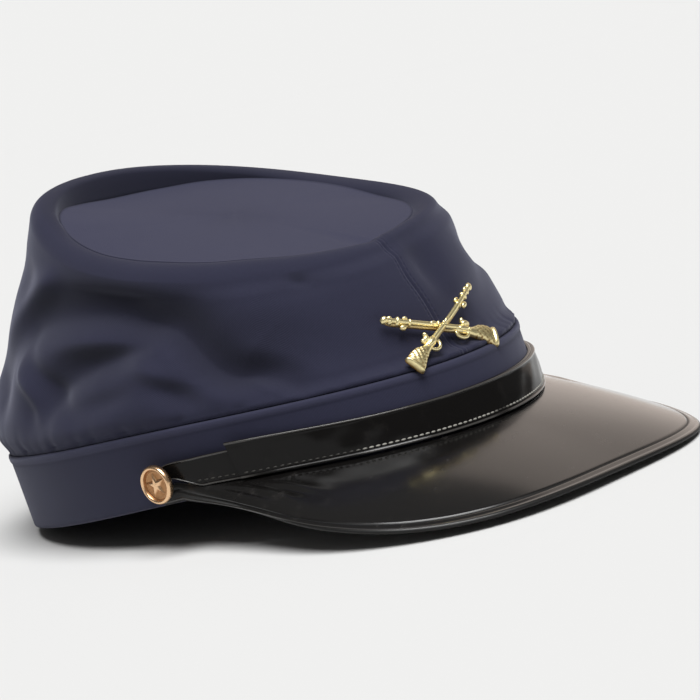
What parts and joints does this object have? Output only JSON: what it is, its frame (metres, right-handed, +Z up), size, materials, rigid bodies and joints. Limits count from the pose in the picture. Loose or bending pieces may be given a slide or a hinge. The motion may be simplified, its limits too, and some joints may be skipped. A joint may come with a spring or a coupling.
{
  "type": "kepi cap",
  "caption": "Navy cotton kepi with a sunken forward-sloping crown, cloth band, black patent peak, layered chin strap on side buttons and a crossed-rifles front badge.",
  "frame": {"origin": "on the floor below the middle of the cap's box, with the cap resting on the back of its band and the edge of its peak", "axes": "+Z up, -Y towards the front of the cap and its peak, +X towards the wearer's left"},
  "size_m": [0.1752, 0.26, 0.1208],
  "materials": {
    "navy_cotton": "matt cotton twill with a fine diagonal weave",
    "black_patent": "glossy patent vinyl with soft ripples",
    "button_brass": "polished warm brass, darker in its recesses",
    "gold_cast": "bright cast gilt, pale on its edges"
  },
  "bodies": {
    "root": {"band": "navy_cotton", "crown_side": "navy_cotton", "crown_top": "navy_cotton", "peak": "black_patent", "chin_strap_under": "black_patent", "chin_strap_over": "black_patent", "button_right": "button_brass", "button_left": "button_brass", "badge": "gold_cast"}
  },
  "joints": []
}
